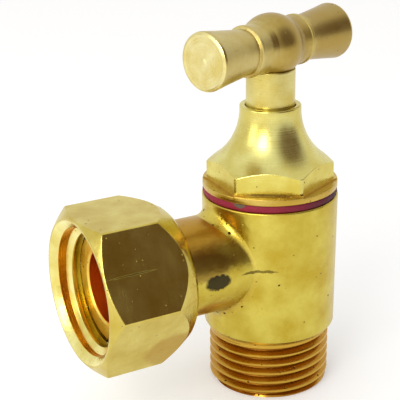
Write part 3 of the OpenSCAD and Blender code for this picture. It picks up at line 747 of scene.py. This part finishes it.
def make_nut_thread():
    """The ridge of the nut's inner thread as a true helix, thinned to nothing at both ends."""
    bm = bmesh.new()
    sunk = NUT_ROOT_R + 0.12
    section = [(sunk, -0.62), (NUT_CREST_R + 0.08, -0.15), (NUT_CREST_R, -0.09), (NUT_CREST_R, 0.09),
               (NUT_CREST_R + 0.08, 0.15), (sunk, 0.62)]
    dots = [bm.verts.new((out * MM, 0, (NUT_THREAD_START + up) * MM)) for out, up in section]
    for here, there in zip(dots, dots[1:] + dots[:1]):
        bm.edges.new((here, there))
    first = bm.faces.new(dots)
    count = round(NUT_TURNS * RIDGE_STEPS)
    spun = bmesh.ops.spin(bm, geom=bm.verts[:] + bm.edges[:] + [first], cent=(0, 0, 0), axis=(0, 0, 1),
                          dvec=(0, 0, -PITCH / RIDGE_STEPS * MM), angle=-math.tau * NUT_TURNS, steps=count)
    bmesh.ops.remove_doubles(bm, verts=bm.verts, dist=0.0002 * MM)
    for dot in bm.verts:
        out = math.hypot(dot.co.x, dot.co.y) / MM
        along = dot.co.z / MM
        tip = NUT_CREST_R if along > 25.3 else NUT_BORED_R
        ends = min(1.0, max(0.0, (NUT_THREAD_START + 0.4 - along) / 0.5), max(0.0, (along - 22.1) / 0.5))
        wanted = max(out, tip)
        wanted = sunk - (sunk - wanted) * ends
        dot.co.x *= wanted / out
        dot.co.y *= wanted / out
    bmesh.ops.recalc_face_normals(bm, faces=bm.faces)
    placed(bm, ALONG_BRANCH)
    finish_piece(blank(bm), "union_nut_thread", "captive_nut", "union_nut", [nut_turned_painted_highlight_coat])


# Bonnet

WITNESS_ACROSS = 15.6
WITNESS_TOP = 29.55
WITNESS_DEPTHS = (0.05, 0.16, 0.02, 0.12, 0.0, 0.09)


def make_collar():
    """Collar with the spigot below it, faced down outside the six witness lines of the milling cutter."""
    ring = blank(turned([(4.5, 22.9, 0.1), (7.1, 22.9, 0), (7.4, 23.2, 0), (7.4, 26.6, 0.1),
                         (7.3, 27.4, 0), (7.3, COLLAR_Z, 0), (COLLAR_R, COLLAR_Z, 0.1),
                         (COLLAR_R, WITNESS_TOP, 0), (4.5, WITNESS_TOP, 0)]))
    for k, depth in enumerate(WITNESS_DEPTHS):
        bm = bmesh.new()
        bmesh.ops.create_cube(bm, size=1)
        bmesh.ops.scale(bm, vec=(4 * MM, 30 * MM, 2 * MM), verts=bm.verts)
        bmesh.ops.translate(bm, verts=bm.verts,
                            vec=((WITNESS_ACROSS / 2 + 2) * MM, 0, (HEX_Z - depth + 1) * MM))
        placed(bm, Matrix.Rotation(HEX_TURN + math.tau / 12 + k * math.tau / 6, 4, "Z"))
        carve(ring, blank(bm), "DIFFERENCE")
    bm = bmesh.new()
    bm.from_mesh(ring.data)
    soften(bm, 0.06, lambda e: math.hypot(*middle(e).xy) > COLLAR_R - 0.02 and middle(e).z > HEX_Z - 0.5)
    bm.to_mesh(ring.data)
    bm.free()
    finish_piece(ring, "bonnet_collar", "valve_body", "bonnet", [collar_coat])


def make_bell():
    """Bell and neck: the turned curve breaks out over six milled flats."""
    start = math.degrees(math.asin((BELL_Z - 31.627) / BELL_R))
    curve = arc((NECK_R + BELL_R, BELL_Z), BELL_R, 180 + start, 180, 40)
    bm = turned([(4.4, HEX_Z - 0.05, 0), (BAR_R, HEX_Z - 0.05, 0), (BAR_R, 31.2, 0)] + curve
                + [(NECK_R, NECK_Z, 0.22), (3.49, NECK_Z, 0.04), (3.34, NECK_Z - 0.15, 0),
                   (3.34, 31.4, 0), (4.4, 31.4, 0)])
    mill_flats(bm, HEX_ACROSS, HEX_TURN + math.tau / 12)
    soften(bm, 0.09, lambda e: math.hypot(*middle(e).xy) > BAR_R - 0.2 and rise(e) > 0.5)
    soften(bm, 0.05, lambda e: math.hypot(*middle(e).xy) > HEX_ACROSS / 2 - 0.05 and middle(e).z > HEX_Z, 1)
    finish_piece(blank(bm), "bonnet_bell", "valve_body", "bonnet",
                 [bonnet_coat, flats_coat], bell_coat_at)


def bell_coat_at(spot):
    """Milled flats stand 7.5 mm from the axis, everything else of the bell is turned."""
    for k in range(6):
        turn = HEX_TURN + math.tau / 12 + k * math.tau / 6
        if abs(spot.x * math.cos(turn) + spot.y * math.sin(turn) - HEX_ACROSS / 2) < 0.01:
            return 1
    return 0


def make_gasket():
    """Fibre ring, squeezed a little unevenly out of the joint."""
    bm = turned([(7.6, BODY_TOP_Z, 0), (8.6, BODY_TOP_Z, 0), (9.08, BODY_TOP_Z, 0.3),
                 (9.1, (BODY_TOP_Z + COLLAR_Z) / 2, 0), (9.08, COLLAR_Z, 0.3), (8.6, COLLAR_Z, 0),
                 (7.6, COLLAR_Z, 0)], steps=288)
    for dot in bm.verts:
        out = math.hypot(dot.co.x, dot.co.y) / MM
        if out > 8.7:
            push = 1 + 0.011 * noise.fractal(dot.co / (1.6 * MM), 1.0, 2.0, 3) - 0.004
            dot.co.x *= push
            dot.co.y *= push
    finish_piece(blank(bm), "gasket_ring", "valve_body", "bonnet_gasket", [gasket_coat])


# Spindle and handle

def make_spindle():
    """Spindle: thread, O-ring grooves, the smooth stem that shows, and the tenon for the handle."""
    ridges = []
    for k in range(5):
        at = SPINDLE_FOOT_Z + 1.35 + k * SPINDLE_LEAD
        ridges += [(SPINDLE_THREAD_R, at - 0.59, 0.05), (SPINDLE_ROOT_R, at - 0.1, 0),
                   (SPINDLE_ROOT_R, at + 0.1, 0), (SPINDLE_THREAD_R, at + 0.59, 0.05)]
    rings = []
    for up in RING_LEVELS:
        rings += [(SPINDLE_R, up - RING_GROOVE_HALF, 0.05), (RING_GROOVE_R, up - RING_GROOVE_HALF, 0.05),
                  (RING_GROOVE_R, up + RING_GROOVE_HALF, 0.05), (SPINDLE_R, up + RING_GROOVE_HALF, 0.05)]
    bm = turned([(SOCKET_R, SPINDLE_FOOT_Z, 0.1), (SPINDLE_THREAD_R - 0.3, SPINDLE_FOOT_Z, 0),
                 (SPINDLE_THREAD_R, SPINDLE_FOOT_Z + 0.3, 0)] + ridges
                + [(SPINDLE_THREAD_R, SPINDLE_COLLAR_Z, 0.1), (SPINDLE_R, SPINDLE_COLLAR_Z, 0.1)] + rings
                + [(SPINDLE_R, 42.0, 0), (SPINDLE_R, 44.2, 0), (SPINDLE_R - 0.02, BALL_FLAT_Z - 0.03, 0.1),
                   (TENON_R, BALL_FLAT_Z - 0.02, 0.05), (TENON_R, TENON_TOP_Z, 0.1), (0.6, TENON_TOP_Z, 0),
                   (0.6, SOCKET_TOP_Z, 0), (SOCKET_R, SOCKET_TOP_Z, 0.1)])
    finish_piece(blank(bm), "spindle_stem", "handle_and_spindle", "spindle", [spindle_coat])


def handle_outline(side):
    """Outline of one half of the handle, from the ball's foot to the middle of its end face."""
    foot = math.sqrt(BALL_R ** 2 - BALL_HALF ** 2)
    faced = [(3.05, 0.05), (2.5, 0.0), (1.95, 0.05), (1.4, 0.01), (0.85, 0.06), (0.45, 0.06), (0.25, 0.0)]
    half = [(foot, BALL_HALF, 0.05), (3.30, 3.05, 0.03), (3.25, 3.15, 0), (3.25, 4.55, 0.04),
            (3.37, 4.67, 0.05), (3.37, 5.08, 0.05), (3.25, 5.22, 0.04), (2.9, 5.3, 0.1), (3.18, 7.6, 0), (3.46, 9.9, 0),
            (3.78, 12.15, 0.25), (3.72, 12.45, 0.1), (3.36, HANDLE_HALF, 0.08)]
    half += [(out, HANDLE_HALF - dip, 0.02) for out, dip in faced]
    half += [(0.0, HANDLE_HALF, 0)]
    return [(out, side * along, soft) for out, along, soft in half]


def make_handle():
    """T handle: one turned bar with a ball in the middle, filed flat under the ball for the spindle."""
    reach = math.degrees(math.asin(BALL_HALF / BALL_R))
    ball = arc((0, 0), BALL_R, -reach, reach, 24)[1:-1]
    bm = turned(handle_outline(-1)[::-1] + ball + handle_outline(1), closed=False)
    placed(bm, ALONG_HANDLE)
    floor = BALL_FLAT_Z - HANDLE_Z
    bore = blank(turned([(0, floor - 3, 0), (4.6, floor - 3, 0), (4.6, floor, 0), (2.2, floor, 0),
                         (2.2, floor + 3.5, 0), (0, floor + 3.5, 0)], closed=False))
    bore.data.transform(Matrix.Translation((0, 0, HANDLE_Z * MM)))
    bar = blank(bm)
    carve(bar, bore, "DIFFERENCE")
    finish_piece(bar, "t_handle_bar", "handle_and_spindle", "t_handle",
                 [handle_coat, handle_end_coat], handle_coat_at)


def handle_coat_at(spot):
    """The faced ends of the handle are paler than the rest."""
    along = spot.x * math.cos(HANDLE_TURN) + spot.y * math.sin(HANDLE_TURN)
    return 1 if abs(along) > HANDLE_HALF - 0.3 else 0


# Pieces inside, taken over from the frame with merged and smoothed copies

INNER_PIECES = (("jumper", "closing_member", "jumper_brass", jumper_coat),
                ("seat_washer", "closing_member", "washer_rubber", rubber_coat),
                ("clamp_washer", "closing_member", "clamp_steel", steel_coat),
                ("clamp_nut", "closing_member", "clamp_steel", steel_coat),
                ("snap_ring", "closing_member", "spring_steel", steel_coat),
                ("o_ring_lower", "handle_and_spindle", "ring_rubber", rubber_coat),
                ("o_ring_upper", "handle_and_spindle", "ring_rubber", rubber_coat))


def make_inner_pieces():
    """Merged, smooth copies of the small pieces inside, each with its own material."""
    for node, body, slot, coat in INNER_PIECES:
        bm = bmesh.new()
        bm.from_mesh(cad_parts[node].data)
        bmesh.ops.remove_doubles(bm, verts=bm.verts, dist=MERGE * MM)
        finish_piece(blank(bm), node + "_smooth", body, node, [coat])


# Studio

WHITE = (1.0, 1.0, 1.0)
FLOOR_GLOW = 0.26
CAMERA_AT = Vector((-77.402, -120.08, 79.325))
AIM_AT = Vector((-10.82, 0, 28.16))
CAMERA_ROLL = math.radians(-0.83)
LENS = 100.65
DARK_SIDE = Vector((0.50, -0.76, 0.38)).normalized()
DARK_EDGE = math.radians(46)
DARK_CORE = math.radians(27)
ROOM_WHITE = (0.97, 0.97, 0.96)
ROOM_DARK = (0.18, 0.125, 0.105)
FLOOR_PAINT = (0.80, 0.80, 0.80)


def seen_plainly(tree):
    """1 for what the camera sees directly, in metal or through glass, else 0."""
    rays = put(tree, "ShaderNodeLightPath").outputs
    seen = calc(tree, "MAXIMUM", rays["Is Camera Ray"], rays["Is Glossy Ray"])
    return calc(tree, "MAXIMUM", seen, rays["Is Transmission Ray"])


def make_floor():
    """Pale floor that reads white and keeps a faint shadow."""
    bm = bmesh.new()
    bmesh.ops.create_grid(bm, x_segments=1, y_segments=1, size=8)
    mesh = bpy.data.meshes.new("floor")
    bm.to_mesh(mesh)
    bm.free()
    floor = bpy.data.objects.new("floor", mesh)
    floor.location.z = -0.02 * MM
    bpy.context.scene.collection.objects.link(floor)
    paint, tree, shader = new_coat("floor_white")
    shader.inputs["Base Color"].default_value = (*FLOOR_PAINT, 1)
    shader.inputs["Roughness"].default_value = 0.9
    shader.inputs["Specular IOR Level"].default_value = 0.0
    shader.inputs["Emission Color"].default_value = (*WHITE, 1)
    tree.links.new(calc(tree, "MULTIPLY", seen_plainly(tree), FLOOR_GLOW), shader.inputs["Emission Strength"])
    mesh.materials.append(paint)


def make_surroundings():
    """White studio with one dark brown side, which only the metal shows."""
    world = bpy.data.worlds.new("studio")
    bpy.context.scene.world = world
    world.use_nodes = True
    tree = world.node_tree
    out = tree.nodes["World Output"]
    backdrop = tree.nodes["Background"]
    backdrop.inputs["Color"].default_value = (*WHITE, 1)
    towards = put(tree, "ShaderNodeTexCoord").outputs["Generated"]
    facing = put(tree, "ShaderNodeVectorMath", {0: towards, 1: DARK_SIDE}, operation="DOT_PRODUCT")
    share = stretch(tree, facing.outputs["Value"], math.cos(DARK_EDGE), math.cos(DARK_CORE))
    colour = blend_tone(tree, share, ROOM_WHITE, ROOM_DARK)
    room = put(tree, "ShaderNodeBackground", {"Color": colour, "Strength": 1.0})
    camera_ray = put(tree, "ShaderNodeLightPath").outputs["Is Camera Ray"]
    both = put(tree, "ShaderNodeMixShader", {0: camera_ray, 1: room.outputs[0], 2: backdrop.outputs[0]})
    tree.links.new(both.outputs[0], out.inputs["Surface"])


def softbox(name, towards, distance, size, watts):
    """A square soft light that looks at the valve."""
    light = bpy.data.lights.new(name, "AREA")
    light.shape = "SQUARE"
    light.size = size
    light.energy = watts
    lamp = bpy.data.objects.new(name, light)
    direction = Vector(towards).normalized()
    lamp.location = AIM_AT * MM + direction * distance
    lamp.rotation_euler = direction.to_track_quat("Z", "Y").to_euler()
    bpy.context.scene.collection.objects.link(lamp)


def make_camera():
    """Camera where the photographer stood."""
    camera = bpy.data.objects.new("camera", bpy.data.cameras.new("camera"))
    camera.data.lens = LENS
    camera.data.sensor_width = 36
    camera.data.clip_start = 0.01
    camera.data.clip_end = 10
    camera.location = CAMERA_AT * MM
    look = (AIM_AT - CAMERA_AT).to_track_quat("-Z", "Y").to_matrix().to_4x4()
    camera.rotation_euler = (look @ Matrix.Rotation(CAMERA_ROLL, 4, "Z")).to_euler()
    bpy.context.scene.collection.objects.link(camera)
    bpy.context.scene.camera = camera


make_body()
make_fillet()
make_thread()
make_nut()
make_nut_thread()
make_collar()
make_bell()
make_gasket()
make_spindle()
make_handle()
make_inner_pieces()
make_floor()
make_surroundings()
softbox("key_softbox", (-0.73, -0.49, 0.48), 0.35, 0.16, 0.50)
softbox("left_softbox", (-0.95, 0.02, 0.26), 0.50, 0.22, 0.38)
make_camera()
bpy.context.scene.view_settings.view_transform = "Standard"
